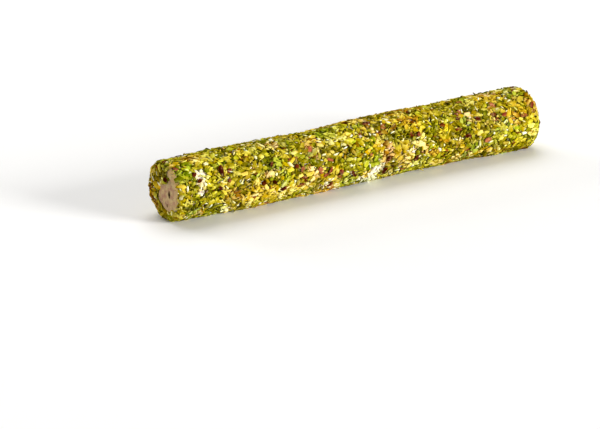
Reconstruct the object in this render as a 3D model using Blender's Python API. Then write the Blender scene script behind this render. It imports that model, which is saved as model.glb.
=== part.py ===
"""One Turkish delight roll: a long, soft roll of pale paste, rolled in chopped pistachio.

The roll lies along X on its own flattened underside, at z = 0. The near end, at -X, is cut and
shows part of its paste; the far end, at +X, is rounded off and coated. The coat's mean surface is
one uneven body, and its largest pistachio chunks are fused onto it where they lie.
Lengths are in metres.
"""

import math

import bmesh
import bpy
import numpy as np
from mathutils import Matrix, Vector

# Driving dimensions of the roll
ROLL_LENGTH = 0.300
ROLL_RADIUS = 0.0212  # to the coat's mean surface
REST_DEPTH = 0.0009  # how far the soft roll has sat down on its underside
FAR_FULLNESS = 0.025  # share by which the roll is thicker at +X than at its middle

# Hand-rolled unevenness of the radius: (share of it, wavelength, lobes around, phase)
SWELLS = (
    (0.014, 0.118, 0, 0.6),
    (0.010, 0.051, 1, 2.1),
    (0.014, 0.240, 2, 2.6),
    (0.008, -0.083, 3, 1.6),
)
SIDE_BEND = (0.0008, 0.270)  # how far the axis wanders sideways, and its wavelength
RISE_BEND = (0.0004, 0.170)  # the same up and down

# The cut end at -X and the rounded end at +X
NEAR_EDGE = 0.0036  # radius of the cut end's rim
NEAR_BULGE = 0.0008  # how far the cut face swells at its middle
NEAR_TILT = 0.020  # how far the cut leans out at its top, as a slope
FAR_EDGE_LENGTH = 0.0080  # the rounded end's shoulder, along the roll
FAR_EDGE_DEPTH = 0.0115  # the same shoulder, towards the axis
FAR_BULGE = 0.0014
END_REACH = 0.25  # share of half the roll over which an end's bulge and lean fade out

# The pinched middle of the rolled paste, a slit in the cut face, placed in radii of the roll
SLIT_SIDE = -0.37
SLIT_HEIGHT = 0.02
SLIT_SIZE = (0.0026, 0.0009, 0.0026)  # half sizes along X, Y and Z

# Where the cut face is bare: blobs as (side, height, half width, half height), in radii
BARE_BLOBS = (
    (-0.25, -0.15, 0.56, 0.43),
    (-0.20, 0.16, 0.34, 0.22),
    (-0.56, 0.20, 0.29, 0.66),
    (-0.40, 0.70, 0.15, 0.22),
)
BARE_BLEND = 0.06  # how softly the blobs run together
BARE_RAGGED = 0.035  # how far their outline wavers
BARE_WAVES = ((9, 4), (-5, 11))  # of that: radians for each radius sideways, and for each up

# The large chunks of pistachio
CHUNK_COUNT = 280
CHUNK_SEED = 11
CHUNK_LENGTH = (0.0046, 0.0064)
CHUNK_WIDTH = (0.0034, 0.0046)
CHUNK_THICKNESS = (0.0024, 0.0032)
CHUNK_CORNERS = 5  # around its top, and as many around its foot
CHUNK_TOP = 0.70  # how wide its top is, as a share of its foot
CHUNK_TILT = 0.22  # radians
CHUNK_RISE = -0.20  # share of its thickness that its middle lies above the mean surface
CHUNK_SCATTER = 3.0  # how far along the roll it strays from an even spread, in chunks
CHUNK_TURN_SCATTER = 0.18  # the same around the roll, in radians

# Resolution of the body: sides around, and rings on each (edge, side, end face)
AROUND = 30
BODY_PROFILE = (3, 31, 3)
FINE_PROFILE = (16, 120, 24)  # of the profile that places the chunks
PROBE_STEP = 0.0004  # how far apart the points are that a direction is taken from
PROBE_TURN = 0.02

HALF_LENGTH = ROLL_LENGTH / 2
AXIS_HEIGHT = ROLL_RADIUS - REST_DEPTH
FULL_TURN = 2 * math.pi
GOLDEN_ANGLE = math.pi * (3 - math.sqrt(5))
CLEARANCE = 0.02  # how far a cutter reaches past what it cuts

# Colour, roughness of each material
PASTE = ((0.62, 0.45, 0.31), 0.55)
FINE_COAT = ((0.40, 0.33, 0.05), 0.75)
CHUNK = ((0.47, 0.42, 0.05), 0.60)


# ---------------------------------------------------------------- form of the roll


def outline(edge_rings, side_rings, face_rings):
    """(x, radius) of the profile's stations, from the cut face's middle to the rounded end's."""
    turn = np.linspace(0, math.pi / 2, edge_rings + 2)
    near_face = ROLL_RADIUS - NEAR_EDGE
    far_face = ROLL_RADIUS - FAR_EDGE_DEPTH
    near_r = np.linspace(0, near_face, face_rings + 1, endpoint=False)
    far_r = np.linspace(far_face, 0, face_rings + 1)[1:]
    side_x = np.linspace(-HALF_LENGTH + NEAR_EDGE, HALF_LENGTH - FAR_EDGE_LENGTH, side_rings + 2)
    x = np.concatenate([
        np.full(len(near_r), -HALF_LENGTH),
        -HALF_LENGTH + NEAR_EDGE * (1 - np.cos(turn)),
        side_x[1:-1],
        HALF_LENGTH - FAR_EDGE_LENGTH * (1 - np.cos(turn[::-1])),
        np.full(len(far_r), HALF_LENGTH),
    ])
    r = np.concatenate([
        near_r,
        near_face + NEAR_EDGE * np.sin(turn),
        np.full(side_rings, ROLL_RADIUS),
        far_face + FAR_EDGE_DEPTH * np.sin(turn[::-1]),
        far_r,
    ])
    return x, r


def uneven(x, r, angle):
    """The hand-rolled form: points (n, 3) for profile places (x, r) at angles from the top."""
    swell = 1 + FAR_FULLNESS * x / HALF_LENGTH
    for share, wavelength, lobes, phase in SWELLS:
        swell = swell + share * np.sin(FULL_TURN * x / wavelength + lobes * angle + phase)
    inner = 1 - (r / ROLL_RADIUS) ** 2
    near = np.clip(1 - (x + HALF_LENGTH) / (HALF_LENGTH * END_REACH), 0, 1)
    far = np.clip(1 + (x - HALF_LENGTH) / (HALF_LENGTH * END_REACH), 0, 1)
    side = r * swell * np.sin(angle) + SIDE_BEND[0] * np.sin(FULL_TURN * x / SIDE_BEND[1])
    height = r * swell * np.cos(angle) + RISE_BEND[0] * np.sin(FULL_TURN * x / RISE_BEND[1])
    along = x - near * (NEAR_BULGE * inner + NEAR_TILT * height) + far * FAR_BULGE * inner
    return np.stack([along, side, AXIS_HEIGHT + height], axis=-1)


def surface_frames(share, angle):
    """Points on the mean surface, each with its outward normal and its direction along the
    profile. share runs from 0 to 1, and equal steps of it cover equal areas."""
    x, r = outline(*FINE_PROFILE)
    step = np.hypot(np.diff(x), np.diff(r))
    run = np.concatenate([[0], np.cumsum(step)])
    area = np.concatenate([[0], np.cumsum(step * (r[1:] + r[:-1]))])
    at = np.interp(share, area / area[-1], run)

    def point(at, angle):
        return uneven(np.interp(at, run, x), np.interp(at, run, r), angle)

    before = np.clip(at - PROBE_STEP, 0, run[-1])
    after = np.clip(at + PROBE_STEP, 0, run[-1])
    along = point(after, angle) - point(before, angle)
    around = point(at, angle + PROBE_TURN) - point(at, angle - PROBE_TURN)
    along /= np.linalg.norm(along, axis=-1, keepdims=True)
    normal = np.cross(along, around)
    normal /= np.linalg.norm(normal, axis=-1, keepdims=True)
    return point(at, angle), normal, along


def is_bare(place):
    """True where the cut face shows its paste."""
    side = place[..., 1] / ROLL_RADIUS
    height = (place[..., 2] - AXIS_HEIGHT) / ROLL_RADIUS
    total = np.zeros(side.shape)
    for blob_side, blob_height, wide, high in BARE_BLOBS:
        reach = np.hypot((side - blob_side) / wide, (height - blob_height) / high)
        total = total + np.exp((1 - reach) / BARE_BLEND)
    first, second = (np.sin(across * side + up * height) for across, up in BARE_WAVES)
    inside = BARE_BLEND * np.log(total) + BARE_RAGGED * first * second > 0
    return inside & (place[..., 0] < -HALF_LENGTH + NEAR_EDGE / 2)


# ---------------------------------------------------------------- chunks


def chunk_frames(draw):
    """(place, normal, along) of each large chunk, spread by the golden angle and then strewn."""
    order = np.arange(CHUNK_COUNT) + 0.5
    strewn = order + draw.uniform(-CHUNK_SCATTER, CHUNK_SCATTER, CHUNK_COUNT)
    share = np.clip(strewn, order[0], order[-1]) / CHUNK_COUNT
    turn = draw.uniform(-CHUNK_TURN_SCATTER, CHUNK_TURN_SCATTER, CHUNK_COUNT)
    place, normal, along = surface_frames(share, order * GOLDEN_ANGLE + turn)
    keep = ~is_bare(place)
    return place[keep], normal[keep], along[keep]


def chunk_points(draw, size):
    """Corners of one broken chunk, whose hull is its shape: a slab that narrows to its top."""
    rings = []
    for level, reach in ((-0.5, 1.0), (0.5, CHUNK_TOP)):
        angle = (np.arange(CHUNK_CORNERS) + draw.uniform(-0.3, 0.3, CHUNK_CORNERS)) / CHUNK_CORNERS
        radius = reach * draw.uniform(0.8, 1.1, CHUNK_CORNERS) / 2
        height = level + draw.uniform(-0.16, 0.16, CHUNK_CORNERS)
        across = radius * np.cos(FULL_TURN * angle)
        up = radius * np.sin(FULL_TURN * angle)
        rings.append(np.stack([across, up, height], axis=-1))
    return np.concatenate(rings) * np.array(size)


def chunk_layout():
    """Each large chunk's corners, in place on the roll."""
    draw = np.random.default_rng(CHUNK_SEED)
    layout = []
    for place, normal, along in zip(*chunk_frames(draw)):
        size = [draw.uniform(*span) for span in (CHUNK_LENGTH, CHUNK_WIDTH, CHUNK_THICKNESS)]
        corners = chunk_points(draw, size)
        lean = Matrix.Rotation(draw.uniform(-CHUNK_TILT, CHUNK_TILT), 3, "X")
        spin = Matrix.Rotation(draw.uniform(0, FULL_TURN), 3, "Z")
        turn = np.array(spin @ lean)
        stand = np.stack([along, np.cross(normal, along), normal], axis=-1)
        middle = place + normal * size[2] * CHUNK_RISE
        layout.append(corners @ turn.T @ stand.T + middle)
    return layout


# ---------------------------------------------------------------- Blender objects


def clear_scene():
    for obj in list(bpy.data.objects):
        bpy.data.objects.remove(obj, do_unlink=True)


def make_material(name, colour, roughness):
    material = bpy.data.materials.new(name)
    material.use_nodes = True
    shader = material.node_tree.nodes["Principled BSDF"]
    shader.inputs["Base Color"].default_value = (*colour, 1)
    shader.inputs["Roughness"].default_value = roughness
    shader.inputs["Metallic"].default_value = 0
    return material


def add_object(name, bm, materials, collection=None):
    mesh = bpy.data.meshes.new(name)
    bm.to_mesh(mesh)
    bm.free()
    for material in materials:
        mesh.materials.append(material)
    obj = bpy.data.objects.new(name, mesh)
    (collection or bpy.context.scene.collection).objects.link(obj)
    return obj


def make_body(materials):
    """The roll's mean surface as a closed mesh of rings, paste-coloured where it is bare."""
    x, r = outline(*BODY_PROFILE)
    angles = np.arange(AROUND) * FULL_TURN / AROUND
    bm = bmesh.new()
    rings = []
    for station_x, station_r in zip(x[1:-1], r[1:-1]):
        places = uneven(np.full(AROUND, station_x), np.full(AROUND, station_r), angles)
        rings.append([bm.verts.new(place) for place in places])
    first = bm.verts.new(uneven(x[0], r[0], 0.0))
    last = bm.verts.new(uneven(x[-1], r[-1], 0.0))
    for i in range(AROUND):
        j = (i + 1) % AROUND
        bm.faces.new((first, rings[0][i], rings[0][j]))
        bm.faces.new((last, rings[-1][j], rings[-1][i]))
        for low, high in zip(rings, rings[1:]):
            bm.faces.new((low[i], high[i], high[j], low[j]))
    bmesh.ops.recalc_face_normals(bm, faces=bm.faces)
    for face in bm.faces:
        face.material_index = int(not is_bare(np.array(face.calc_center_median())))
        face.smooth = True
    return add_object("turkish_delight_roll", bm, materials)


def make_chunks(material, collection):
    for number, corners in enumerate(chunk_layout()):
        bm = bmesh.new()
        points = [bm.verts.new(corner) for corner in corners]
        hull = bmesh.ops.convex_hull(bm, input=points)
        unused = {v for v in hull["geom_interior"] if isinstance(v, bmesh.types.BMVert)}
        bmesh.ops.delete(bm, geom=list(unused), context="VERTS")
        bmesh.ops.recalc_face_normals(bm, faces=bm.faces)
        add_object(f"chunk_{number:03d}", bm, [material], collection)


def make_slit_cutter():
    """A small upright almond that sinks into the cut face."""
    bm = bmesh.new()
    bmesh.ops.create_uvsphere(bm, u_segments=10, v_segments=6, radius=1)
    bmesh.ops.scale(bm, vec=SLIT_SIZE, verts=bm.verts)
    cutter = add_object("slit_cutter", bm, [])
    cutter.location = (
        -HALF_LENGTH - NEAR_BULGE,
        SLIT_SIDE * ROLL_RADIUS,
        AXIS_HEIGHT + SLIT_HEIGHT * ROLL_RADIUS,
    )
    return cutter


def make_floor_cutter():
    """A block whose top is the plane that the roll's underside has settled on."""
    bm = bmesh.new()
    bmesh.ops.create_cube(bm, size=1)
    size = Vector((ROLL_LENGTH, 2 * ROLL_RADIUS, ROLL_RADIUS)) + Vector((CLEARANCE,) * 3)
    bmesh.ops.scale(bm, vec=size, verts=bm.verts)
    cutter = add_object("floor_cutter", bm, [])
    cutter.location = (0, 0, -size.z / 2)
    return cutter


def apply_boolean(body, operation, **operand):
    modifier = body.modifiers.new(operation.lower(), "BOOLEAN")
    modifier.operation = operation
    modifier.solver = "MANIFOLD"
    for key, value in operand.items():
        setattr(modifier, key, value)
    bpy.context.view_layer.objects.active = body
    bpy.ops.object.modifier_apply(modifier=modifier.name)


def fuse_chunks(body, material):
    collection = bpy.data.collections.new("chunks")
    bpy.context.scene.collection.children.link(collection)
    make_chunks(material, collection)
    apply_boolean(body, "UNION", operand_type="COLLECTION", collection=collection)
    for chunk in list(collection.objects):
        bpy.data.objects.remove(chunk, do_unlink=True)
    bpy.data.collections.remove(collection)


def cut(body, cutter):
    apply_boolean(body, "DIFFERENCE", object=cutter)
    bpy.data.objects.remove(cutter, do_unlink=True)


def main():
    clear_scene()
    paste = make_material("paste", *PASTE)
    coat = make_material("fine_pistachio_coat", *FINE_COAT)
    chunk = make_material("pistachio_chunk", *CHUNK)
    body = make_body([paste, coat, chunk])
    fuse_chunks(body, chunk)
    cut(body, make_slit_cutter())
    cut(body, make_floor_cutter())


main()
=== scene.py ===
"""The looks of one Turkish delight roll: a core of soft beige paste, coated in chopped pistachio.

The roll lies along X. Its cut end, at -X, shows part of its paste; its rounded end is at +X.
Every chopped piece is mesh at its true size. Lengths are in metres and colours are sRGB, 0 to 255.
"""

import math
from typing import NamedTuple

import bmesh
import bpy
import numpy as np
from mathutils import Matrix, Vector
from mathutils.kdtree import KDTree


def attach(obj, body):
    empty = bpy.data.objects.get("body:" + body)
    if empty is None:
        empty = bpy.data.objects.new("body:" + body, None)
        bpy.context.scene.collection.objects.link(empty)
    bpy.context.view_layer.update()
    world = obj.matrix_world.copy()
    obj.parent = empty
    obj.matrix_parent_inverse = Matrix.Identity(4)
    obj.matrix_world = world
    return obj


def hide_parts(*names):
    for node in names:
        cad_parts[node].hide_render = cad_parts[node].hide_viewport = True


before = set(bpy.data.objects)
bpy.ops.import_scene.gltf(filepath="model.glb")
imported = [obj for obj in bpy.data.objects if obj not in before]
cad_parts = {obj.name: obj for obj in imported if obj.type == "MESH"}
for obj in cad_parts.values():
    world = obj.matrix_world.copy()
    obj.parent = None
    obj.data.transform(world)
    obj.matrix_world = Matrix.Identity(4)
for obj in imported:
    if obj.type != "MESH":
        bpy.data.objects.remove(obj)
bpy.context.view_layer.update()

# ---------------------------------------------------------------- dimensions

# The roll's form, as in the CAD model
ROLL_LENGTH = 0.300
ROLL_RADIUS = 0.0212  # to the coat's mean surface
REST_DEPTH = 0.0009
FAR_FULLNESS = 0.025  # share by which the roll is thicker at +X than at its middle
SWELLS = (  # unevenness of the radius: (share of it, wavelength, lobes around, phase)
    (0.014, 0.118, 0, 0.6),
    (0.010, 0.051, 1, 2.1),
    (0.014, 0.240, 2, 2.6),
    (0.008, -0.083, 3, 1.6),
)
SIDE_BEND = (0.0008, 0.270)  # how far the axis wanders, and its wavelength
RISE_BEND = (0.0004, 0.170)
NEAR_EDGE = 0.0036
NEAR_BULGE = 0.0008
NEAR_TILT = 0.020  # how far the cut leans out at its top, as a slope
FAR_EDGE_LENGTH = 0.0080
FAR_EDGE_DEPTH = 0.0115
FAR_BULGE = 0.0014
END_REACH = 0.25  # share of half the roll over which an end's bulge and lean fade out
SLIT_SIDE = -0.37  # in radii of the roll
SLIT_HEIGHT = 0.02
SLIT_SIZE = (0.0026, 0.0009, 0.0026)  # half sizes along X, Y and Z
BARE_BLOBS = (  # the bare patch: (side, height, half width, half height), in radii
    (-0.25, -0.15, 0.56, 0.43),
    (-0.20, 0.16, 0.34, 0.22),
    (-0.56, 0.20, 0.29, 0.66),
    (-0.40, 0.70, 0.15, 0.22),
)
BARE_BLEND = 0.06
BARE_RAGGED = 0.035
BARE_WAVES = ((9, 4), (-5, 11))
NOWHERE_BARE = -9.0  # the bareness of the roll's side and its far end

# The large chunks, as in the CAD model
CHUNK_COUNT = 280
CHUNK_SEED = 11
CHUNK_LENGTH = (0.0046, 0.0064)
CHUNK_WIDTH = (0.0034, 0.0046)
CHUNK_THICKNESS = (0.0024, 0.0032)
CHUNK_CORNERS = 5
CHUNK_TOP = 0.70
CHUNK_TILT = 0.22
CHUNK_RISE = -0.20  # share of its thickness that its middle lies above the mean surface
CHUNK_SCATTER = 3.0
CHUNK_TURN_SCATTER = 0.18
SLAB_TURN = 0.3  # how far a corner strays round the slab, as a share of a step between corners
SLAB_RADIUS = (0.8, 1.1)
SLAB_LEVEL = 0.16

FINE_PROFILE = (16, 120, 24)  # stations on each edge, the side and each end face
PROBE_STEP = 0.0004  # how far apart the points are that a direction is taken from
PROBE_TURN = 0.02

HALF_LENGTH = ROLL_LENGTH / 2
CUT_FACE_END = -HALF_LENGTH + NEAR_EDGE / 2  # what lies nearer than this is on the cut face
AXIS_HEIGHT = ROLL_RADIUS - REST_DEPTH
FULL_TURN = 2 * math.pi
GOLDEN_ANGLE = math.pi * (3 - math.sqrt(5))

# The core of paste
COAT_DEPTH = 0.0010  # how far below the coat's mean surface the paste begins
CORE_AROUND = 180
CORE_FACE_STEP = 0.00035
CORE_SIDE_STEP = 0.0019
CORE_FLOOR = 0.0005  # the nuts on its underside hold it this far up
FULL_RADIUS = 0.9999  # the side is where the profile has at least this share of the radius
CUT_EDGE = (-0.02, 0.06)  # bareness over which the core rises to the cut face
THIN_LIFT = 0.55  # how much of the coat's depth the paste makes up in a thin spot
FACE_RIM = 0.20  # how wide the bare patch's paler rim is, as bareness; the rim is partly paler paste and partly a painted highlight
OUTER_RIM = (0.64, 0.90)  # the rim and its painted highlight also spread over the face's outer part, in radii of the roll
# Painted shade on the cut face, in and around the slit and on a pit below it that the mesh doesn't
# hollow: (side, height, half width, half height, all in radii, darkest)
HOLLOW_SHADES = (
    (SLIT_SIDE, SLIT_HEIGHT, 0.085, 0.17, 1.0),
    (-0.22, -0.39, 0.06, 0.09, 0.7),
)
HOLLOW_SHADE_EDGE = (0.4, 1.0)
RIDGE_HEIGHT = 0.00008
RIDGE_SPACING = 0.0033
RIDGE_OVAL = 0.7  # width of the ridges' rings as a share of their height
RIDGE_SWAY = (1.5, 3, 0.012)  # radians, waves around the slit, and wavelength upwards

# The finer chopped pistachio
SEED = 64
BAREST_CLEAR = 0.0018  # how much further large pieces keep from the barest thin spots


class Sort(NamedTuple):
    """How one sort of finer piece is cut and laid."""

    shapes: tuple  # how many shapes, corners around a shard's rim, bevel of its edges
    spacing: float
    lengths: tuple
    widths: tuple  # as a share of the length
    thicknesses: tuple
    tops: tuple  # above the coat's mean surface
    lean: float  # radians
    clear: float  # how far from the bare patch, in radii of the roll
    thinnest: float  # how much thinness of the coat, 0 to 1, the boldest of them lie on
    wider: float = 0.0  # how much wider it takes the barest thin spots to be
    finer: bool = True  # whether its kinds are shared out as the finer pieces' are


FLAKES = Sort(
    shapes=(30, 7, 0.025),
    spacing=0.0028,
    lengths=(0.0048, 0.0088),
    widths=(0.36, 0.74),
    thicknesses=(0.0008, 0.0014),
    tops=(0.0003, 0.0010),
    lean=0.16,
    clear=0.09,
    thinnest=0.8,
    wider=BAREST_CLEAR,
    finer=False,
)
SCRAPS = Sort(
    shapes=(16, 5, 0),
    spacing=0.0018,
    lengths=(0.0022, 0.0046),
    widths=(0.40, 0.90),
    thicknesses=(0.0007, 0.0014),
    tops=(0.0001, 0.0008),
    lean=0.35,
    clear=0.03,
    thinnest=1.3,
)
SLIVERS = Sort(
    shapes=(12, 5, 0),
    spacing=0.0028,
    lengths=(0.0026, 0.0062),
    widths=(0.16, 0.32),
    thicknesses=(0.0005, 0.0009),
    tops=(0.0004, 0.0013),
    lean=0.25,
    clear=0.05,
    thinnest=0.8,
)
TRIES = 60000
SPIN_SPREAD = 0.60  # radians from the roll's own direction
KERNEL_COUNT = 700  # pieces broken from one kernel lie together
KERNEL_LONG = 1.3  # how far they lie apart along the roll, as a share of across it
KERNEL_SHARE = 0.74  # of the pieces have their nearest kernel's kind and tint
KERNEL_TINT = 0.7  # how much of such a piece's tint is the kernel's
OWN_TINT = 0.3  # and how much is its own
END_FACING = 0.5  # a normal further along X than this is an end's, where pieces lie any way
CRUMBS_COUNT = 8000
CRUMBS_SHAPES = (8, 4, 0)  # as in Sort
CRUMBS_LENGTH = (0.0006, 0.0015)
CRUMBS_SIDES = (0.6, 1.0)  # as a share of the length
CRUMBS_TOP = (-0.0007, 0.0009)
CRUMBS_LEAN = 0.8
CRUMBS_ROUGHNESS = 0.6
STRAY_CRUMBS = 0.5  # how far into the bare patch a few of them lie, as bareness
STRAY_POWER = 3  # the higher, the fewer they are
CHUNK_ROOM = 0.0026  # how far from a large chunk's middle the finer pieces begin
CHUNK_BEVEL = 0.00022
SLAB_TOP = (0.70, 0.95)  # how wide a slab's top is, as a share of its foot
# A domed shard of unit size: how far its corners stray, how far its rim reaches, how it tapers
# and how high its top and bottom are
SHARD_STRAY = 0.3
SHARD_REACH = (0.66, 1.06)
SHARD_TAPER = 0.25
SHARD_DOME = (0.40, 0.55)
BEND_SIDEWAYS = 0.28  # at most, of a unit-sized piece
BEND_DOWN = 0.4
FLOOR_GAP = 0.00001
BAKE_RADIUS = 0.47  # of a piece's disc in its cell of the bake map, as a share of the cell

# Colours of the paste: in the cut face, and under the coat
CUT_LIGHT = (205, 181, 129)
CUT_DARK = (179, 134, 109)
# The bare patch's paler rim: partly paler paste, partly a painted highlight where the rim catches
# the light
CUT_RIM_AND_HIGHLIGHT = (230, 196, 124)
CUT_PORE = (136, 100, 74)
# Painted shade of the slit and the pit
HOLLOW_SHADE_COLOUR = (50, 18, 8)
# The paste under the coat, seen only between the pieces: dusted with pistachio, its darker dust
# colour also painted shade for the gaps
CREAM = (176, 157, 36)
DUST_AND_GAP_SHADE = (120, 104, 8)
WHITE_PASTE = (246, 234, 214)
PINK_PASTE = (226, 170, 158)


class Kind(NamedTuple):
    """One kind of chopped piece."""

    flakes: float  # share of the flakes and the large chunks
    finer: float  # share of the finer pieces
    colours: tuple  # inside, on the nut's own outer side, and at its palest break
    thickness: float  # beside the others'
    roughness: float
    broken: bool  # whether a kernel broke into pieces of this kind


KINDS = {
    "light_green": Kind(0.25, 0.22, ((135, 124, 2), (88, 87, 0), (194, 181, 41)), 1.0, 0.50, True),
    "lime": Kind(0.07, 0.07, ((124, 129, 2), (76, 88, 0), (185, 186, 45)), 1.0, 0.50, True),
    "deep_green": Kind(0.18, 0.18, ((90, 85, 0), (48, 45, 0), (141, 129, 8)), 1.0, 0.50, True),
    "yellow": Kind(0.32, 0.28, ((171, 145, 2), (123, 103, 0), (227, 206, 68)), 1.0, 0.50, True),
    "golden": Kind(0.07, 0.08, ((152, 108, 2), (115, 68, 0), (209, 179, 64)), 1.0, 0.50, True),
    "pale": Kind(0.01, 0.10, ((244, 232, 172), (190, 172, 76), (252, 248, 220)), 0.9, 0.55, False),
    "skin": Kind(0.03, 0.03, ((98, 36, 8), (54, 12, 4), (146, 84, 46)), 0.5, 0.60, False),
}
TINT_SPREAD = (0.22, 0.046, 0.14)  # of the brightness, the warmth and the blue of each piece
DRIFT = (0.03, 0.042, 0.46)  # how far the same drift over the roll
DRIFT_WAVES = 16
DRIFT_LENGTHS = (0.014, 0.080)
CREAM_OF_BRIGHT = 3.5  # how much more blue, so creamier, a brighter piece is
MOST_BLUE = 0.38  # of a tinted piece, as a share of its green
BRIGHTEST = 0.95  # of a tinted piece, in linear light
OUTWARD = 1.0  # how far the palest breaks tend to face out, and the nut's own side in
# How far a side's colour reaches: its fade, and what facing it and lying towards it count for
SIDE_FADE = (0.2, 0.9)
SIDE_FACING = 0.5
SIDE_REACH = 0.7
CREAM_OF_BREAK_AND_HIGHLIGHT = (238, 228, 160)  # the cream that a piece's lighter patches fade towards: partly its palest break, partly a painted highlight
MOTTLE = (0.78, 1.18)  # how much darker and lighter a piece is in places

# Patterns of the pieces: features a metre of a noise, and what of it brings the most
PATCHES = 380
MOTTLE_RANGE = (0.32, 0.68)
# The cream mottle on the lighter patches, partly a painted highlight
CREAM_RANGE = (0.56, 0.74)
CREAM_MOST = 0.22
GRAIN = 2600
GRAIN_RANGE = (0.3, 0.7)
GRAIN_ROUGHNESS = (-0.08, 0.12)  # added to a kind's roughness
# Patterns of the paste and the floor: (features a metre, detail, the noise that gives the least
# and the most, the least, the most)
BLOTCHES = (260, 4.0, 0.35, 0.65, 0, 1)
# breaks the rim's painted highlight into patches
RIM_HIGHLIGHT_PATCHES = (420, 3.0, 0.38, 0.58, 0.25, 1)
PORES = (1100, 2.0, 0.58, 0.70, 0, 0.8)
DUST = (300, 4.0, 0.52, 0.62, 0, 1)
BLUSH = (420, 3.0, 0.55, 0.68, 0, 1)
FLOOR_PATCHES = (3, 3.0, 0, 1, 0, 1)
FLOOR_DARKER = 0.98
PASTE_GRAIN = 1500

# Thin spots of the coat, where the paste shows: (x, angle from the top, radius)
THIN_SPOTS = (
    (-0.1307, -0.90, 0.0038),
    (-0.1311, -1.17, 0.0030),
    (-0.1329, -1.48, 0.0020),
    (0.0084, -1.96, 0.0036),
    (0.0072, -2.20, 0.0044),
    (0.0078, -2.46, 0.0040),
    (0.0022, -2.32, 0.0020),
    (-0.0030, -2.26, 0.0016),
    (0.0112, -1.80, 0.0018),
    (-0.0309, -2.07, 0.0014),
    (-0.0333, -2.15, 0.0014),
    (-0.0357, -2.23, 0.0014),
    (-0.1102, -2.40, 0.0018),
    (-0.1135, -2.38, 0.0014),
)
# The largest bits of the nuts' skin: (way along the profile from the cut face's middle, angle
# from the top, length, width, turn from that way)
SKIN_BITS = (
    (0.0120, -0.48, 0.0070, 0.0044, 2.05),
    (0.0334, -0.85, 0.0050, 0.0040, 0.6),
    (0.0361, -1.08, 0.0040, 0.0032, 0.2),
    (0.0391, -1.44, 0.0036, 0.0028, 0.3),
    (0.0540, -0.93, 0.0100, 0.0030, 1.5),
    (0.0509, -1.44, 0.0050, 0.0034, 2.2),
    (0.0843, -1.54, 0.0040, 0.0038, 0.9),
    (0.0931, -1.57, 0.0048, 0.0034, 2.4),
    (0.1009, -1.87, 0.0056, 0.0040, 0.4),
    (0.0927, -1.02, 0.0056, 0.0030, 1.0),
    (0.1117, -1.23, 0.0044, 0.0040, 0.2),
    (0.1384, -1.59, 0.0072, 0.0030, 0.8),
    (0.1483, -1.75, 0.0052, 0.0042, 1.4),
    (0.1581, -1.88, 0.0090, 0.0032, 2.1),
    (0.1773, -0.30, 0.0078, 0.0030, 0.1),
    (0.1842, -2.04, 0.0104, 0.0052, 1.65),
    (0.1865, -1.62, 0.0050, 0.0040, 0.5),
    (0.2107, -1.84, 0.0074, 0.0040, 1.4),
    (0.2133, -1.09, 0.0048, 0.0034, 0.9),
    (0.2488, -0.85, 0.0044, 0.0040, 0.7),
    (0.2650, -0.97, 0.0052, 0.0038, 2.6),
    (0.2541, -1.44, 0.0064, 0.0034, 0.3),
    (0.2696, -1.68, 0.0050, 0.0042, 1.1),
    (0.3120, -0.89, 0.0068, 0.0042, 1.2),
)
SKIN_THICKNESS = 0.0010
SKIN_LEAN = 0.15
SKIN_RISE = 0.0015
THIN_COUNT = 200  # more of them, anywhere, most only partly bare
THIN_RADIUS = (0.0010, 0.0034)
THIN_STRENGTH = (0.15, 0.85)
THIN_EDGE = (0.75, 1.25)  # shares of its radius over which a thin spot ends
ALL_PALE = 0.9  # thinness from which every piece is of the pale kind

# The photo's camera
FRAME_WIDTH = 600
FRAME_HEIGHT = 429
FOCAL_PIXELS = 3333
CAMERA_HEADING = -33  # degrees; 0 looks along +Y
CAMERA_PITCH = 19.9
CAMERA_DISTANCE = 2.305
ROLL_CENTRE_PIXEL = (350.5, 152.6)
SENSOR_WIDTH = 36
FARTHEST_SEEN = 20

# Lights: (way round from -Y to +X, height, both in degrees, distance, size, power)
KEY_LIGHT = (32, 15, 6.0, 2.0, 480)
TOP_LIGHT = (160, 62, 3.5, 3.0, 88)
BACK_LIGHT = (200, 14, 6.0, 2.5, 180)
SKY_STRENGTH = 0.22
FLOOR_COLOUR = (246, 245, 243)
FLOOR_SIZE = 12


# ---------------------------------------------------------------- form of the roll


def outline(edge_rings, side_rings, face_rings):
    """(x, radius) of the profile's stations, from the cut face's middle to the rounded end's."""
    turn = np.linspace(0, math.pi / 2, edge_rings + 2)
    near_face = ROLL_RADIUS - NEAR_EDGE
    far_face = ROLL_RADIUS - FAR_EDGE_DEPTH
    near_r = np.linspace(0, near_face, face_rings + 1, endpoint=False)
    far_r = np.linspace(far_face, 0, face_rings + 1)[1:]
    side_x = np.linspace(-HALF_LENGTH + NEAR_EDGE, HALF_LENGTH - FAR_EDGE_LENGTH, side_rings + 2)
    x = np.concatenate([
        np.full(len(near_r), -HALF_LENGTH),
        -HALF_LENGTH + NEAR_EDGE * (1 - np.cos(turn)),
        side_x[1:-1],
        HALF_LENGTH - FAR_EDGE_LENGTH * (1 - np.cos(turn[::-1])),
        np.full(len(far_r), HALF_LENGTH),
    ])
    r = np.concatenate([
        near_r,
        near_face + NEAR_EDGE * np.sin(turn),
        np.full(side_rings, ROLL_RADIUS),
        far_face + FAR_EDGE_DEPTH * np.sin(turn[::-1]),
        far_r,
    ])
    return x, r


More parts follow.
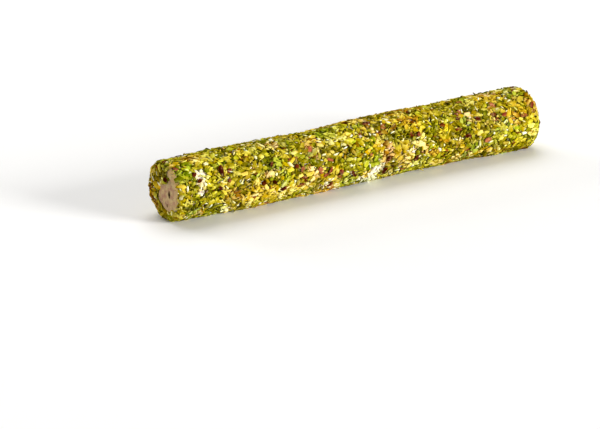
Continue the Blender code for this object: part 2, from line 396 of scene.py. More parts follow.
def uneven(x, r, angle):
    """The hand-rolled form: points (n, 3) for profile places (x, r) at angles from the top."""
    swell = 1 + FAR_FULLNESS * x / HALF_LENGTH
    for share, wavelength, lobes, phase in SWELLS:
        swell = swell + share * np.sin(FULL_TURN * x / wavelength + lobes * angle + phase)
    inner = 1 - (r / ROLL_RADIUS) ** 2
    near = np.clip(1 - (x + HALF_LENGTH) / (HALF_LENGTH * END_REACH), 0, 1)
    far = np.clip(1 + (x - HALF_LENGTH) / (HALF_LENGTH * END_REACH), 0, 1)
    side = r * swell * np.sin(angle) + SIDE_BEND[0] * np.sin(FULL_TURN * x / SIDE_BEND[1])
    height = r * swell * np.cos(angle) + RISE_BEND[0] * np.sin(FULL_TURN * x / RISE_BEND[1])
    along = x - near * (NEAR_BULGE * inner + NEAR_TILT * height) + far * FAR_BULGE * inner
    return np.stack([along, side, AXIS_HEIGHT + height], axis=-1)


PROFILE_X, PROFILE_R = outline(*FINE_PROFILE)
PROFILE_STEP = np.hypot(np.diff(PROFILE_X), np.diff(PROFILE_R))
PROFILE_RUN = np.concatenate([[0], np.cumsum(PROFILE_STEP)])
PROFILE_AREA = np.concatenate([[0], np.cumsum(PROFILE_STEP * (PROFILE_R[1:] + PROFILE_R[:-1]))])


def point(at, angle):
    """Points on the mean surface: at is the way along the profile."""
    x = np.interp(at, PROFILE_RUN, PROFILE_X)
    r = np.interp(at, PROFILE_RUN, PROFILE_R)
    return uneven(x, r, angle)


def frames(at, angle):
    """The same points, each with its outward normal and its direction along the profile."""
    before = np.clip(at - PROBE_STEP, 0, PROFILE_RUN[-1])
    after = np.clip(at + PROBE_STEP, 0, PROFILE_RUN[-1])
    along = point(after, angle) - point(before, angle)
    around = point(at, angle + PROBE_TURN) - point(at, angle - PROBE_TURN)
    along /= np.linalg.norm(along, axis=-1, keepdims=True)
    normal = np.cross(along, around)
    normal /= np.linalg.norm(normal, axis=-1, keepdims=True)
    return point(at, angle), normal, along


def surface_frames(share, angle):
    """frames where share runs from 0 to 1, and equal steps of it cover equal areas."""
    return frames(np.interp(share, PROFILE_AREA / PROFILE_AREA[-1], PROFILE_RUN), angle)


def bareness(place):
    """How deep inside the cut face's bare patch a place is: above 0 inside, below 0 outside."""
    side = place[..., 1] / ROLL_RADIUS
    height = (place[..., 2] - AXIS_HEIGHT) / ROLL_RADIUS
    total = np.zeros(side.shape)
    for blob_side, blob_height, wide, high in BARE_BLOBS:
        reach = np.hypot((side - blob_side) / wide, (height - blob_height) / high)
        total = total + np.exp((1 - reach) / BARE_BLEND)
    first, second = (np.sin(across * side + up * height) for across, up in BARE_WAVES)
    depth = BARE_BLEND * np.log(total) + BARE_RAGGED * first * second
    return np.where(place[..., 0] < CUT_FACE_END, depth, NOWHERE_BARE)


def is_bare(place):
    return bareness(place) > 0


def smooth_step(low, high, value):
    """0 up to low and 1 from high, with a smooth rise between them."""
    t = np.clip((value - low) / (high - low), 0, 1)
    return t * t * (3 - 2 * t)


# ---------------------------------------------------------------- meshes from arrays


def linear(colour):
    """An sRGB colour, 0 to 255, as linear light."""
    value = np.asarray(colour, float) / 255
    return np.where(value <= 0.04045, value / 12.92, ((value + 0.055) / 1.055) ** 2.4)


def mesh_object(name, points, triangles, corner_values=None):
    """An object of triangles. corner_values holds arrays by name: (corners, 3) for a colour,
    (corners, 2) for a map of the surface."""
    mesh = bpy.data.meshes.new(name)
    mesh.vertices.add(len(points))
    mesh.vertices.foreach_set("co", points.astype(np.float32).ravel())
    mesh.loops.add(triangles.size)
    mesh.loops.foreach_set("vertex_index", triangles.astype(np.int32).ravel())
    mesh.polygons.add(len(triangles))
    mesh.polygons.foreach_set("loop_start", np.arange(0, triangles.size, 3, dtype=np.int32))
    mesh.update(calc_edges=True)
    for key, values in (corner_values or {}).items():
        if values.shape[1] == 2:
            layer = mesh.uv_layers.new(name=key)
            layer.uv.foreach_set("vector", values.astype(np.float32).ravel())
        else:
            layer = mesh.attributes.new(key, "FLOAT_COLOR", "CORNER")
            opaque = np.concatenate([values, np.ones((len(values), 1))], axis=1)
            layer.data.foreach_set("color", opaque.astype(np.float32).ravel())
    mesh.validate()
    obj = bpy.data.objects.new(name, mesh)
    bpy.context.scene.collection.objects.link(obj)
    return obj


# ---------------------------------------------------------------- chopped pieces


def slab_corners(draw, size, top=CHUNK_TOP):
    """Corners of one broken chunk, whose hull is its shape: a slab that narrows to its top."""
    rings = []
    for level, reach in ((-0.5, 1.0), (0.5, top)):
        stray = draw.uniform(-SLAB_TURN, SLAB_TURN, CHUNK_CORNERS)
        angle = (np.arange(CHUNK_CORNERS) + stray) / CHUNK_CORNERS
        radius = reach * draw.uniform(*SLAB_RADIUS, CHUNK_CORNERS) / 2
        height = level + draw.uniform(-SLAB_LEVEL, SLAB_LEVEL, CHUNK_CORNERS)
        across = radius * np.cos(FULL_TURN * angle)
        up = radius * np.sin(FULL_TURN * angle)
        rings.append(np.stack([across, up, height], axis=-1))
    return np.concatenate(rings) * np.array(size)


def hull(corners, bevel):
    """The convex hull of some corners as (points, triangles), its edges cut back by bevel."""
    bm = bmesh.new()
    made = bmesh.ops.convex_hull(bm, input=[bm.verts.new(corner) for corner in corners])
    unused = {v for v in made["geom_interior"] if isinstance(v, bmesh.types.BMVert)}
    bmesh.ops.delete(bm, geom=list(unused), context="VERTS")
    bmesh.ops.recalc_face_normals(bm, faces=bm.faces)
    if bevel:
        bmesh.ops.bevel(bm, geom=bm.edges[:], offset=bevel, segments=1, affect="EDGES",
                        clamp_overlap=True)
    bmesh.ops.triangulate(bm, faces=bm.faces)
    bm.verts.index_update()
    points = np.array([v.co for v in bm.verts])
    triangles = np.array([[v.index for v in face.verts] for face in bm.faces])
    bm.free()
    return points, in_order(triangles)


def in_order(triangles):
    """The same triangles in an order that is the same each run, as triangulate's isn't: each
    from its lowest corner."""
    corner = (np.arange(3) + triangles.argmin(axis=1)[:, None]) % 3
    turned = np.take_along_axis(triangles, corner, axis=1)
    return turned[np.lexsort(turned.T[::-1])]


def shard_corners(draw, rim):
    """Corners of one domed shard that tapers to its ends: rim corners around it, three on top
    and three below."""
    angle = (np.arange(rim) + draw.uniform(-SHARD_STRAY, SHARD_STRAY, rim)) * FULL_TURN / rim
    reach = draw.uniform(*SHARD_REACH, rim) / 2
    across = reach * np.sin(angle) * (1 - SHARD_TAPER * np.cos(angle) ** 2)
    height = draw.uniform(-SHARD_STRAY, SHARD_STRAY, rim)
    edge = np.stack([reach * np.cos(angle), across, height], axis=-1)
    faces = draw.uniform(-SHARD_STRAY, SHARD_STRAY, (6, 3))
    faces[:, 2] = draw.uniform(*SHARD_DOME, 6) * (1, 1, 1, -1, -1, -1)
    return np.concatenate([edge, faces])


def chopped_shapes(draw, count, rim, bevel):
    """Unit-sized chopped pieces, slabs and domed shards in turn, each bent along its length."""
    shapes = []
    for number in range(count):
        if number % 2:
            corners = shard_corners(draw, rim)
        else:
            corners = slab_corners(draw, (1, 1, 1), draw.uniform(*SLAB_TOP))
        points, triangles = hull(corners, bevel)
        curve = 4 * points[:, 0] ** 2
        points[:, 1] += draw.uniform(-BEND_SIDEWAYS, BEND_SIDEWAYS) * curve
        points[:, 2] -= draw.uniform(0, BEND_DOWN) * curve
        shapes.append((points, triangles))
    return shapes


def rotations(axis, angle):
    """Matrices that turn about one axis, 0 to 2, by each of the angles."""
    before, after = (axis + 1) % 3, (axis + 2) % 3
    made = np.zeros((len(angle), 3, 3))
    made[:, axis, axis] = 1
    made[:, before, before] = np.cos(angle)
    made[:, after, after] = np.cos(angle)
    made[:, before, after] = -np.sin(angle)
    made[:, after, before] = np.sin(angle)
    return made


def stood(normal, along):
    """Matrices that stand pieces on the surface: their length along it, their top outwards."""
    return np.stack([along, np.cross(normal, along), normal], axis=-1)


def turns(draw, normal, along, lean):
    """Matrices that lay pieces on the surface: on the side mostly along the roll, as rolling
    turns them, on the ends any way, and leaning any way by about lean."""
    count = len(normal)
    toward = draw.random(count) * FULL_TURN
    loose = draw.random(count) * FULL_TURN * (np.abs(normal[:, 0]) > END_FACING)
    spin = draw.normal(0, SPIN_SPREAD, count) + loose - toward
    leant = rotations(2, toward) @ rotations(0, draw.normal(0, lean, count))
    return stood(normal, along) @ leant @ rotations(2, spin)


def settle(place, normal, along):
    """Frames of the mean surface where the roll has settled: flat, facing down, on z = 0."""
    under = place[:, 2] < 0
    place, normal, along = place.copy(), normal.copy(), along.copy()
    place[under, 2] = 0
    normal[under] = (0, 0, -1)
    along[under] = (1, 0, 0)
    return place, normal, along


def tree_of(places):
    """A tree that finds which of some places are near a point."""
    tree = KDTree(len(places))
    for i, place in enumerate(places):
        tree.insert(place, i)
    tree.balance()
    return tree


def spread(draw, sort, avoid):
    """Frames at random places of the coat for one sort of piece: none is nearer to another
    than its spacing, nor to the places in avoid, a list of (places, distance), and few are
    where the coat is thin."""
    share, angle = draw.random((2, TRIES))
    place, normal, along = surface_frames(share, angle * FULL_TURN)
    tree = tree_of(place)
    free = bareness(place) < -sort.clear
    free &= thinness(place, sort.wider) < draw.random(TRIES) * sort.thinnest
    for taken, gap in avoid:
        for spot in taken:
            free[[i for _, i, _ in tree.find_range(spot, gap)]] = False
    kept = []
    for i, spot in enumerate(place):
        if free[i]:
            kept.append(i)
            free[[j for _, j, _ in tree.find_range(spot, sort.spacing)]] = False
    return place[kept], normal[kept], along[kept]


def disc_map(points):
    """Where each point of a convex shape goes on a flat disc: its top at the disc's middle."""
    polar = np.arccos(np.clip(points[:, 2] / np.linalg.norm(points, axis=1), -1, 1)) / math.pi
    round_it = np.arctan2(points[:, 1], points[:, 0])
    return np.stack([polar * np.cos(round_it), polar * np.sin(round_it)], axis=-1)


def colour_corners(points, facets, colours, sides):
    """Colours at the corners of each piece's facets: its own outer colour on its outer side and
    its palest one on another, each fading into the colour inside."""
    facing = np.cross(facets[:, :, 1] - facets[:, :, 0], facets[:, :, 2] - facets[:, :, 0])
    facing /= np.maximum(np.linalg.norm(facing, axis=-1, keepdims=True), 1e-12)
    facing = np.einsum("nfi,nsi->nfs", facing, sides)
    reach = np.einsum("fci,nsi->nfcs", points * 2, sides)
    side = smooth_step(*SIDE_FADE, SIDE_FACING * facing[:, :, None] + SIDE_REACH * reach)
    outer, palest = side[..., 0, None], side[..., 1, None]
    inner = (1 - outer) * (1 - palest)
    parts = (inner, outer, (1 - outer) * palest)
    return sum(part * colours[:, None, None, i] for i, part in enumerate(parts))


def place_copies(shape, place, turn, size, colours, sides):
    """Copies of one shape: points, triangles, a colour and a disc place at each corner, and
    which copy each corner belongs to."""
    points, triangles = shape
    count, corners = len(place), len(points)
    sized = points * size[:, None, :]
    placed = np.einsum("nij,nkj->nki", turn, sized) + place[:, None, :]
    colour = colour_corners(points[triangles], sized[:, triangles], colours, sides)
    all_triangles = triangles[None] + corners * np.arange(count)[:, None, None]
    disc = np.tile(disc_map(points)[triangles].reshape(-1, 2), (count, 1))
    owner = np.repeat(np.arange(count), triangles.size)
    return placed.reshape(-1, 3), all_triangles.reshape(-1, 3), colour.reshape(-1, 3), disc, owner


def joined(name, groups):
    """One mesh object of all the groups that place_copies gave. Each piece has its own cell
    in the map that its colours can be baked through."""
    points, triangles, colours, discs, owners = [], [], [], [], []
    points_so_far = pieces_so_far = 0
    for group_points, group_triangles, colour, disc, owner in groups:
        points.append(group_points)
        triangles.append(group_triangles + points_so_far)
        colours.append(colour)
        discs.append(disc)
        owners.append(owner + pieces_so_far)
        points_so_far += len(group_points)
        pieces_so_far += owner.max() + 1
    owner = np.concatenate(owners)
    cells = math.ceil(math.sqrt(pieces_so_far))
    cell = np.stack([owner % cells, owner // cells], axis=-1)
    bake_map = (cell + 0.5 + BAKE_RADIUS * np.concatenate(discs)) / cells
    placed = np.concatenate(points)
    placed[:, 2] = np.maximum(placed[:, 2], FLOOR_GAP)
    values = {"tint": np.concatenate(colours), "OFBake": bake_map}
    return mesh_object(name, placed, np.concatenate(triangles), values)


def make_kernels(draw):
    """Where the kernels were broken: a tree of their places, their kinds and their tints."""
    place, _, _ = surface_frames(draw.random(KERNEL_COUNT), draw.random(KERNEL_COUNT) * FULL_TURN)
    shares = [kind.flakes * kind.broken for kind in KINDS.values()]
    return tree_of(place / (KERNEL_LONG, 1, 1)), *pick_kinds(draw, KERNEL_COUNT, shares)


def pick_kinds(draw, count, shares):
    """A kind for each piece, and a tint that makes no two quite alike."""
    kinds = draw.choice(list(KINDS), count, p=np.array(shares) / sum(shares))
    return kinds, random_tint(draw, count)


def random_tint(draw, count):
    return tinted(*(draw.normal(0, wide, count) for wide in TINT_SPREAD))


def tinted(bright, warm, blue):
    """What a tint does to a linear colour."""
    creamy = np.exp(blue + CREAM_OF_BRIGHT * bright)
    return np.stack([1 + warm, 1 - warm / 2, creamy], axis=-1) * np.exp(bright)[:, None]


def tint(colours, change):
    """Each piece's linear colours, changed by its tint, with no blue that turns them pink."""
    changed = np.clip(colours * change[:, None, :], 0, BRIGHTEST)
    most_blue = np.maximum(MOST_BLUE, colours[..., 2] / colours[..., 1])
    changed[..., 2] = np.minimum(changed[..., 2], most_blue * changed[..., 1])
    return changed


def make_drift(draw):
    """Waves whose sums drift slowly over the roll: their steps in radians a metre, and phases."""
    way = draw.normal(size=(3, DRIFT_WAVES, 3))
    way /= np.linalg.norm(way, axis=-1, keepdims=True)
    length = np.geomspace(*DRIFT_LENGTHS, DRIFT_WAVES)
    return FULL_TURN * way / length[:, None], draw.random((3, DRIFT_WAVES)) * FULL_TURN


def drifted(place):
    """The tint that the drift gives at each place."""
    steps, phases = drift
    waves = np.sin(np.einsum("nj,kwj->knw", place, steps) + phases[:, None])
    sums = waves.sum(axis=-1) * math.sqrt(2 / DRIFT_WAVES)
    return tinted(*(sums * np.array(DRIFT)[:, None]))


def dress(draw, place, finer):
    """Kind, three colours, and outer and palest sides of the piece at each place."""
    shares = [kind.finer if finer else kind.flakes for kind in KINDS.values()]
    kinds, change = pick_kinds(draw, len(place), shares)
    tree, kernel_kinds, kernel_change = kernels
    together = draw.random(len(place)) < KERNEL_SHARE
    together &= np.array([KINDS[kind].broken for kind in kinds])
    owner = np.array([tree.find(spot)[1] for spot in place / (KERNEL_LONG, 1, 1)])[together]
    kinds[together] = kernel_kinds[owner]
    kinds[thinness(place, BAREST_CLEAR) > ALL_PALE] = "pale"
    change[together] = KERNEL_TINT * kernel_change[owner] + OWN_TINT * change[together]
    colours = linear([KINDS[kind].colours for kind in kinds])
    colours = tint(colours, change * drifted(place))
    outer = directions(draw, len(place), -OUTWARD)
    palest = directions(draw, len(place), OUTWARD)
    return kinds, colours, np.stack([outer, palest], axis=1)


def directions(draw, count, outward):
    """Random directions in the pieces' own axes, drawn towards the outside of the roll."""
    found = draw.normal(size=(count, 3)) + (0, 0, outward)
    return found / np.linalg.norm(found, axis=1, keepdims=True)


def scatter(draw, groups, spots, shapes, size, top, lean, finer):
    """Adds a piece at each spot to the groups of its kind: its top lies top above the coat's
    mean surface, and it leans by about lean."""
    place, normal, along = settle(*spots)
    kinds, colours, sides = dress(draw, place, finer)
    size[:, 2] *= [KINDS[kind].thickness for kind in kinds]
    turn = turns(draw, normal, along, lean)
    middle = place + normal * (top - size[:, 2] / 2)[:, None]
    shape_of = draw.integers(len(shapes), size=len(place))
    for kind in KINDS:
        for number, shape in enumerate(shapes):
            chosen = (kinds == kind) & (shape_of == number)
            if chosen.any():
                groups[kind].append(place_copies(
                    shape, middle[chosen], turn[chosen], size[chosen],
                    colours[chosen], sides[chosen],
                ))


def lay_pieces(draw, groups, sort, avoid):
    """Covers what avoid leaves free of the coat with one sort of piece. Returns their places."""
    shapes = chopped_shapes(draw, *sort.shapes)
    spots = spread(draw, sort, avoid)
    count = len(spots[0])
    length = draw.uniform(*sort.lengths, count)
    width = length * draw.uniform(*sort.widths, count)
    size = np.stack([length, width, draw.uniform(*sort.thicknesses, count)], axis=-1)
    top = draw.uniform(*sort.tops, count)
    scatter(draw, groups, spots, shapes, size, top, sort.lean, sort.finer)
    return spots[0]


def lay_skin_bits(groups):
    """The largest bits of the nuts' skin, each at its own place on top of the coat."""
    draw = np.random.default_rng(SEED)
    at, angle, length, width, spin = np.array(SKIN_BITS).T
    count = len(at)
    place, normal, along = frames(at, angle)
    size = np.stack([length, width, np.full(count, SKIN_THICKNESS)], axis=-1)
    leant = rotations(0, draw.normal(0, SKIN_LEAN, count))
    turn = stood(normal, along) @ leant @ rotations(2, spin)
    middle = place + normal * SKIN_RISE
    change = random_tint(draw, count)
    colours = tint(linear(KINDS["skin"].colours), change)
    sides = np.stack([directions(draw, count, OUTWARD), directions(draw, count, 0)], axis=1)
    _, rim, bevel = FLAKES.shapes
    for i, shape in enumerate(chopped_shapes(draw, count, rim, bevel)):
        one = slice(i, i + 1)
        groups["skin"].append(place_copies(
            shape, middle[one], turn[one], size[one], colours[one], sides[one],
        ))


def chunk_frames(draw):
    """Frames of the large chunks, where the CAD model has them."""
    order = np.arange(CHUNK_COUNT) + 0.5
    strewn = order + draw.uniform(-CHUNK_SCATTER, CHUNK_SCATTER, CHUNK_COUNT)
    share = np.clip(strewn, order[0], order[-1]) / CHUNK_COUNT
    turn = draw.uniform(-CHUNK_TURN_SCATTER, CHUNK_TURN_SCATTER, CHUNK_COUNT)
    place, normal, along = surface_frames(share, order * GOLDEN_ANGLE + turn)
    keep = ~is_bare(place)
    return place[keep], normal[keep], along[keep]


def large_chunks(groups):
    """The CAD model's large chunks, each with its edges broken off. Returns their places."""
    draw = np.random.default_rng(CHUNK_SEED)
    places, normals, alongs = chunk_frames(draw)
    kinds, colours, sides = dress(np.random.default_rng(SEED), places, False)
    for i, (place, normal, along) in enumerate(zip(places, normals, alongs)):
        size = [draw.uniform(*span) for span in (CHUNK_LENGTH, CHUNK_WIDTH, CHUNK_THICKNESS)]
        corners = slab_corners(draw, size)
        lean = Matrix.Rotation(draw.uniform(-CHUNK_TILT, CHUNK_TILT), 3, "X")
        spin = Matrix.Rotation(draw.uniform(0, FULL_TURN), 3, "Z")
        turn = stood(normal, along) @ np.array(spin @ lean)
        middle = place + normal * size[2] * CHUNK_RISE
        one = slice(i, i + 1)
        groups[kinds[i]].append(place_copies(
            hull(corners, CHUNK_BEVEL), middle[None], turn[None], np.ones((1, 3)),
            colours[one], sides[one],
        ))
    return places


def thinness(place, wider=0.0):
    """1 in the middle of a thin spot of the coat, 0 away from them all. The barest spots can be
    taken as wider."""
    found = np.zeros(place.shape[:-1])
    for spot, radius, strength in thin_spots:
        away = np.linalg.norm(place - spot, axis=-1) - wider * (strength == 1)
        inside = 1 - smooth_step(radius * THIN_EDGE[0], radius * THIN_EDGE[1], away)
        found = np.maximum(found, strength * inside)
    return found


def place_thin_spots(draw):
    """The coat's thin spots as (place, radius, strength)."""
    named = [(surface_spot(x, angle), radius, 1.0) for x, angle, radius in THIN_SPOTS]
    place, _, _ = surface_frames(draw.random(THIN_COUNT), draw.random(THIN_COUNT) * FULL_TURN)
    radius = draw.uniform(*THIN_RADIUS, THIN_COUNT)
    strength = draw.uniform(*THIN_STRENGTH, THIN_COUNT)
    return named + list(zip(place, radius, strength))


def surface_spot(x, angle):
    return uneven(x, ROLL_RADIUS, angle)


def make_coat(draw):
    """The coat, as one object of each kind of piece and one of crumbs."""
    groups = {kind: [] for kind in KINDS}
    beside_chunks = (large_chunks(groups), CHUNK_ROOM)
    flakes = lay_pieces(draw, groups, FLAKES, [beside_chunks])
    lay_pieces(draw, groups, SCRAPS, [beside_chunks, (flakes, SCRAPS.spacing)])
    lay_pieces(draw, groups, SLIVERS, [])
    lay_skin_bits(groups)
    return [joined("pistachio_" + kind, groups[kind]) for kind in KINDS] + [make_crumbs(draw)]


def make_crumbs(draw):
    """The finest crumbs, of all kinds, a few of them strayed into the bare patch."""
    groups = {kind: [] for kind in KINDS}
    spots = surface_frames(draw.random(CRUMBS_COUNT), draw.random(CRUMBS_COUNT) * FULL_TURN)
    coated = bareness(spots[0]) < draw.random(CRUMBS_COUNT) ** STRAY_POWER * STRAY_CRUMBS
    spots = [part[coated] for part in spots]
    count = coated.sum()
    size = draw.uniform(*CRUMBS_LENGTH, (count, 1)) * draw.uniform(*CRUMBS_SIDES, (count, 3))
    top = draw.uniform(*CRUMBS_TOP, count)
    shapes = chopped_shapes(draw, *CRUMBS_SHAPES)
    scatter(draw, groups, spots, shapes, size, top, CRUMBS_LEAN, True)
    return joined("pistachio_crumbs", [group for kind in KINDS for group in groups[kind]])


# ---------------------------------------------------------------- the core


def core_stations():
    """Ways along the profile: close together on the ends and their edges, wider on the side."""
    on_side = PROFILE_R >= ROLL_RADIUS * FULL_RADIUS
    near_side = PROFILE_RUN[np.argmax(on_side)]
    far_side = PROFILE_RUN[::-1][np.argmax(on_side[::-1])]
    end = PROFILE_RUN[-1]
    return np.concatenate([
        np.linspace(0, near_side, math.ceil(near_side / CORE_FACE_STEP), endpoint=False),
        np.linspace(near_side, far_side, math.ceil((far_side - near_side) / CORE_SIDE_STEP),
                    endpoint=False),
        np.linspace(far_side, end, math.ceil((end - far_side) / CORE_SIDE_STEP) + 1),
    ])


def slit_depth(place):
    """How deep the slit in the cut face is at each place."""
    side = (place[..., 1] - SLIT_SIDE * ROLL_RADIUS) / SLIT_SIZE[1]
    height = (place[..., 2] - AXIS_HEIGHT - SLIT_HEIGHT * ROLL_RADIUS) / SLIT_SIZE[2]
    inside = np.clip(1 - side**2 - height**2, 0, 1)
    return np.sqrt(inside) * SLIT_SIZE[0] * (place[..., 0] < CUT_FACE_END)


def hollow_shade(place):
    """How much painted shade darkens the paste in and around the slit, and on a small pit below it
    that the mesh doesn't hollow: 0 to 1.
    """
    side = place[..., 1] / ROLL_RADIUS
    height = (place[..., 2] - AXIS_HEIGHT) / ROLL_RADIUS
    found = np.zeros(place.shape[:-1])
    for at_side, at_height, wide, high, darkest in HOLLOW_SHADES:
        away = np.hypot((side - at_side) / wide, (height - at_height) / high)
        found = np.maximum(found, darkest * (1 - smooth_step(*HOLLOW_SHADE_EDGE, away)))
    return found * (place[..., 0] < CUT_FACE_END)


def smears(place):
    """The cut face's faint ridges around its slit, where the paste was rolled up."""
    side = place[..., 1] - SLIT_SIDE * ROLL_RADIUS
    height = place[..., 2] - AXIS_HEIGHT - SLIT_HEIGHT * ROLL_RADIUS
    away = np.hypot(side, height * RIDGE_OVAL)
    most, waves, wavelength = RIDGE_SWAY
    sway = most * np.sin(np.arctan2(side, height) * waves + height * FULL_TURN / wavelength)
    return RIDGE_HEIGHT * np.sin(away * FULL_TURN / RIDGE_SPACING + sway)


def tube_triangles(rings):
    """Triangles of a closed tube: its rings of points come first, then its two end points."""
    ring, column = np.meshgrid(np.arange(rings - 1), np.arange(CORE_AROUND), indexing="ij")
    a = (ring * CORE_AROUND + column).ravel()
    b = (ring * CORE_AROUND + (column + 1) % CORE_AROUND).ravel()
    c, d = b + CORE_AROUND, a + CORE_AROUND
    column = np.arange(CORE_AROUND)
    after = (column + 1) % CORE_AROUND
    outer_ring = (rings - 1) * CORE_AROUND
    first = np.full(CORE_AROUND, rings * CORE_AROUND)
    return np.concatenate([
        np.stack([a, d, c], axis=-1),
        np.stack([a, c, b], axis=-1),
        np.stack([first, column, after], axis=-1),
        np.stack([first + 1, outer_ring + after, outer_ring + column], axis=-1),
    ])


def core_mask(place, cut, thin):
    """What the paste's material shows at each point of the core: red where it was cut, green on
    the bare patch's rim, partly a painted highlight, and in thin spots, and blue for the painted
    shade in and around the slit and on the pit."""
    rim = 1 - smooth_step(0, FACE_RIM, bareness(place))
    middle = place - (0, 0, AXIS_HEIGHT)
    out = smooth_step(*OUTER_RIM, np.hypot(middle[..., 1], middle[..., 2]) / ROLL_RADIUS)
    rim = np.maximum(rim, out)
    on_rings = np.stack([cut, thin + (rim - thin) * cut, hollow_shade(place)], axis=-1).reshape(-1, 3)
    return np.concatenate([on_rings, [(1, 0, 0), (0, 0, 0)]])


def make_core():
    """The paste: just below the coat, and level with the cut face in its bare patch."""
    stations = core_stations()
    angles = np.arange(CORE_AROUND) * FULL_TURN / CORE_AROUND
    at, angle = np.meshgrid(stations[1:-1], angles, indexing="ij")
    place, normal, _ = frames(at, angle)
    cut = smooth_step(*CUT_EDGE, bareness(place))
    thin = thinness(place)
    lift = -COAT_DEPTH * (1 - cut) * (1 - THIN_LIFT * thin) + smears(place) * cut
    points = place + normal * lift[..., None]
    points[..., 0] += slit_depth(place)
    ends = point(stations[[0, -1]], np.zeros(2))
    ends[1, 0] -= COAT_DEPTH
    points = np.concatenate([points.reshape(-1, 3), ends])
    points[:, 2] = np.maximum(points[:, 2], CORE_FLOOR)
    triangles = tube_triangles(len(stations) - 2)
    mask = core_mask(place, cut, thin)[triangles.ravel()]
    core = mesh_object("paste_core", points, triangles, {"mask": mask})
    core.data.shade_smooth()
    return core


# ---------------------------------------------------------------- materials


def new_material(name, **sockets):
    """A material, its node tree and its shader, whose sockets are set by name."""
    material = bpy.data.materials.new(name)
    material.use_nodes = True
    shader = material.node_tree.nodes["Principled BSDF"]
    for key, value in sockets.items():
        shader.inputs[key.replace("_", " ")].default_value = value
    return material, material.node_tree, shader


def noise(tree, scale, detail=3.0, roughness=0.5):
    """Noise through the piece, its features about 1 / scale metres across."""
    where = tree.nodes.new("ShaderNodeTexCoord")
    made = tree.nodes.new("ShaderNodeTexNoise")
    made.inputs["Scale"].default_value = scale
    made.inputs["Detail"].default_value = detail
    made.inputs["Roughness"].default_value = roughness
    tree.links.new(where.outputs["Object"], made.inputs["Vector"])
    return made.outputs["Fac"]


def ranged(tree, value, low, high, to_low, to_high):
    """The value's range from low to high, stretched over another, and nothing beyond."""
    made = tree.nodes.new("ShaderNodeMapRange")
    for key, number in zip(("From Min", "From Max", "To Min", "To Max"),
                           (low, high, to_low, to_high)):
        made.inputs[key].default_value = number
    tree.links.new(value, made.inputs["Value"])
    return made.outputs["Result"]


def pattern(tree, scale, detail, *ranges):
    return ranged(tree, noise(tree, scale, detail), *ranges)


def mixed(tree, kind, factor, first, second):
    """A colour mix; factor, first and second are sockets or plain values."""
    made = tree.nodes.new("ShaderNodeMix")
    made.data_type = "RGBA"
    made.blend_type = kind
    for number, value in ((0, factor), (6, first), (7, second)):
        if isinstance(value, bpy.types.NodeSocket):
            tree.links.new(value, made.inputs[number])
        elif number == 0:
            made.inputs[number].default_value = value
        else:
            made.inputs[number].default_value = (*value, 1)
    return made.outputs[2]


def bumped(tree, shader, height, strength, distance):
    """Gives a shader the finest relief, below what the mesh has."""
    bump = tree.nodes.new("ShaderNodeBump")
    bump.inputs["Strength"].default_value = strength
    bump.inputs["Distance"].default_value = distance
    tree.links.new(height, bump.inputs["Height"])
    tree.links.new(bump.outputs["Normal"], shader.inputs["Normal"])


def attribute(tree, name):
    """A colour that the mesh holds at its corners."""
    made = tree.nodes.new("ShaderNodeAttribute")
    made.attribute_name = name
    return made.outputs["Color"]


def nut_material(name, roughness):
    """Broken pistachio: each piece's own colour, mottled with cream that is partly its pale break
    and partly a painted highlight, on a fine-grained break.
    """
    material, tree, shader = new_material(name, Specular_IOR_Level=0.0)
    patches = noise(tree, PATCHES)
    mottle = ranged(tree, patches, *MOTTLE_RANGE, *MOTTLE)
    # Cream on the lighter patches: partly the pale break, partly a painted highlight
    cream_and_highlight = ranged(tree, patches, *CREAM_RANGE, 0, CREAM_MOST)
    colour = mixed(tree, "MIX", cream_and_highlight, attribute(tree, "tint"), linear(CREAM_OF_BREAK_AND_HIGHLIGHT))
    colour = mixed(tree, "MULTIPLY", 1.0, colour, mottle)
    tree.links.new(colour, shader.inputs["Base Color"])
    grain = noise(tree, GRAIN, detail=4.0, roughness=0.6)
    roughnesses = (roughness + change for change in GRAIN_ROUGHNESS)
    rough = ranged(tree, grain, *GRAIN_RANGE, *roughnesses)
    tree.links.new(rough, shader.inputs["Roughness"])
    bumped(tree, shader, grain, strength=0.7, distance=0.00025)
    return material


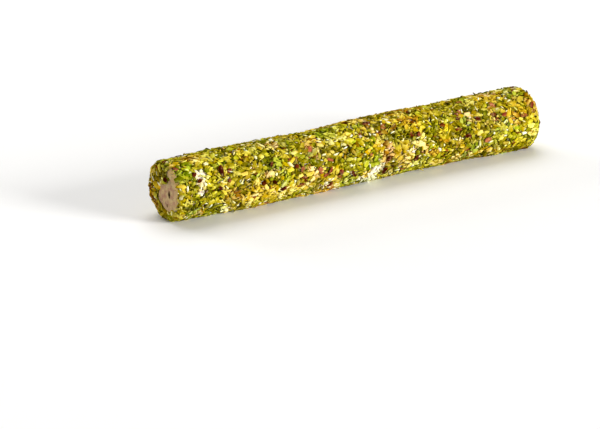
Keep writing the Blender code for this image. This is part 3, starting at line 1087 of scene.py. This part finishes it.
def paste_material():
    """Beige paste where it was cut, paler at the patch's rim, partly as a painted highlight; under
    the coat, pale and dusted with pistachio, its darker dust also painted shade between the
    pieces. core_mask says which is where."""
    material, tree, shader = new_material(
        "soft_paste",
        Roughness=0.55,
        Specular_IOR_Level=0.0,
        Subsurface_Weight=0.25,
        Subsurface_Radius=(1.0, 0.65, 0.4),
        Subsurface_Scale=0.0025,
    )
    split = tree.nodes.new("ShaderNodeSeparateColor")
    tree.links.new(attribute(tree, "mask"), split.inputs["Color"])
    cut, thin = split.outputs["Red"], split.outputs["Green"]
    blotches = pattern(tree, *BLOTCHES)
    face = mixed(tree, "MIX", blotches, linear(CUT_DARK), linear(CUT_LIGHT))
    # On the cut face the green mask is the paler rim, partly a painted highlight, broken into
    # patches
    rim_and_highlight = mixed(tree, "MULTIPLY", 1.0, thin, pattern(tree, *RIM_HIGHLIGHT_PATCHES))
    face = mixed(tree, "MIX", rim_and_highlight, face, linear(CUT_RIM_AND_HIGHLIGHT))
    face = mixed(tree, "MIX", pattern(tree, *PORES), face, linear(CUT_PORE))
    # Painted shade in and around the slit and on the pit
    face = mixed(tree, "MIX", split.outputs["Blue"], face, linear(HOLLOW_SHADE_COLOUR))
    # Pistachio dust under the coat, its darker colour also painted shade between the pieces
    dust = pattern(tree, *DUST)
    coated = mixed(tree, "MIX", dust, linear(DUST_AND_GAP_SHADE), linear(CREAM))
    blush = pattern(tree, *BLUSH)
    shown = mixed(tree, "MIX", blush, linear(WHITE_PASTE), linear(PINK_PASTE))
    coated = mixed(tree, "MIX", thin, coated, shown)
    colour = mixed(tree, "MIX", cut, coated, face)
    tree.links.new(colour, shader.inputs["Base Color"])
    grain = noise(tree, PASTE_GRAIN, detail=4.0)
    bumped(tree, shader, grain, strength=0.35, distance=0.0002)
    return material


def floor_material():
    """A matt, pale floor, hardly uneven in its colour."""
    material, tree, shader = new_material("pale_floor", Roughness=0.6)
    pale = linear(FLOOR_COLOUR)
    patches = pattern(tree, *FLOOR_PATCHES)
    shade = mixed(tree, "MIX", patches, pale, pale * FLOOR_DARKER)
    tree.links.new(shade, shader.inputs["Base Color"])
    return material


# ---------------------------------------------------------------- stage, light and camera


def make_floor():
    """The floor that the roll lies on, which isn't part of it."""
    bm = bmesh.new()
    bmesh.ops.create_grid(bm, x_segments=1, y_segments=1, size=FLOOR_SIZE / 2)
    mesh = bpy.data.meshes.new("floor")
    bm.to_mesh(mesh)
    bm.free()
    floor = bpy.data.objects.new("floor", mesh)
    bpy.context.scene.collection.objects.link(floor)
    mesh.materials.append(floor_material())


def view_axes():
    """The camera's right, up and forward directions."""
    heading, pitch = math.radians(CAMERA_HEADING), math.radians(CAMERA_PITCH)
    right = Vector((math.cos(heading), math.sin(heading), 0))
    level = Vector((-math.sin(heading), math.cos(heading), 0))
    forward = level * math.cos(pitch) - Vector((0, 0, math.sin(pitch)))
    return right, right.cross(forward), forward


def make_camera():
    """A camera that puts the roll's middle where it is in the photo."""
    right, up, forward = view_axes()
    across = (ROLL_CENTRE_PIXEL[0] - FRAME_WIDTH / 2) / FOCAL_PIXELS
    above = (FRAME_HEIGHT / 2 - ROLL_CENTRE_PIXEL[1]) / FOCAL_PIXELS
    ray = forward + right * across + up * above
    data = bpy.data.cameras.new("camera")
    data.sensor_width = SENSOR_WIDTH
    data.lens = FOCAL_PIXELS * SENSOR_WIDTH / FRAME_WIDTH
    data.clip_end = FARTHEST_SEEN
    camera = bpy.data.objects.new("camera", data)
    camera.location = Vector((0, 0, AXIS_HEIGHT)) - ray * CAMERA_DISTANCE
    camera.rotation_euler = forward.to_track_quat("-Z", "Y").to_euler()
    bpy.context.scene.collection.objects.link(camera)
    bpy.context.scene.camera = camera


def make_light(name, azimuth, elevation, distance, size, power):
    """A square soft light; azimuth is the way round from -Y towards +X."""
    turn, rise = math.radians(azimuth), math.radians(elevation)
    toward = Vector((
        math.sin(turn) * math.cos(rise),
        -math.cos(turn) * math.cos(rise),
        math.sin(rise),
    ))
    data = bpy.data.lights.new(name, "AREA")
    data.size = size
    data.energy = power
    light = bpy.data.objects.new(name, data)
    light.location = toward * distance
    light.rotation_euler = (-toward).to_track_quat("-Z", "Y").to_euler()
    bpy.context.scene.collection.objects.link(light)


def make_sky():
    """Even white light from all round."""
    world = bpy.data.worlds.new("soft_room")
    world.use_nodes = True
    background = world.node_tree.nodes["Background"]
    background.inputs["Color"].default_value = (1, 1, 1, 1)
    background.inputs["Strength"].default_value = SKY_STRENGTH
    bpy.context.scene.world = world


# ---------------------------------------------------------------- the scene

# What the functions above place every piece of the coat by
random_draw = np.random.default_rng(SEED)
thin_spots = place_thin_spots(random_draw)
kernels = make_kernels(random_draw)
drift = make_drift(random_draw)

core = make_core()
core.data.materials.append(paste_material())
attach(core, "root")
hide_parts("turkish_delight_roll")

for piece in make_coat(random_draw):
    kind = piece.name.removeprefix("pistachio_")
    roughness = KINDS[kind].roughness if kind in KINDS else CRUMBS_ROUGHNESS
    piece.data.materials.append(nut_material(piece.name, roughness))
    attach(piece, "root")
    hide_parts("turkish_delight_roll")

make_floor()
make_camera()
make_light("key", *KEY_LIGHT)
make_light("top", *TOP_LIGHT)
make_light("back", *BACK_LIGHT)
make_sky()
bpy.context.scene.view_settings.view_transform = "Standard"
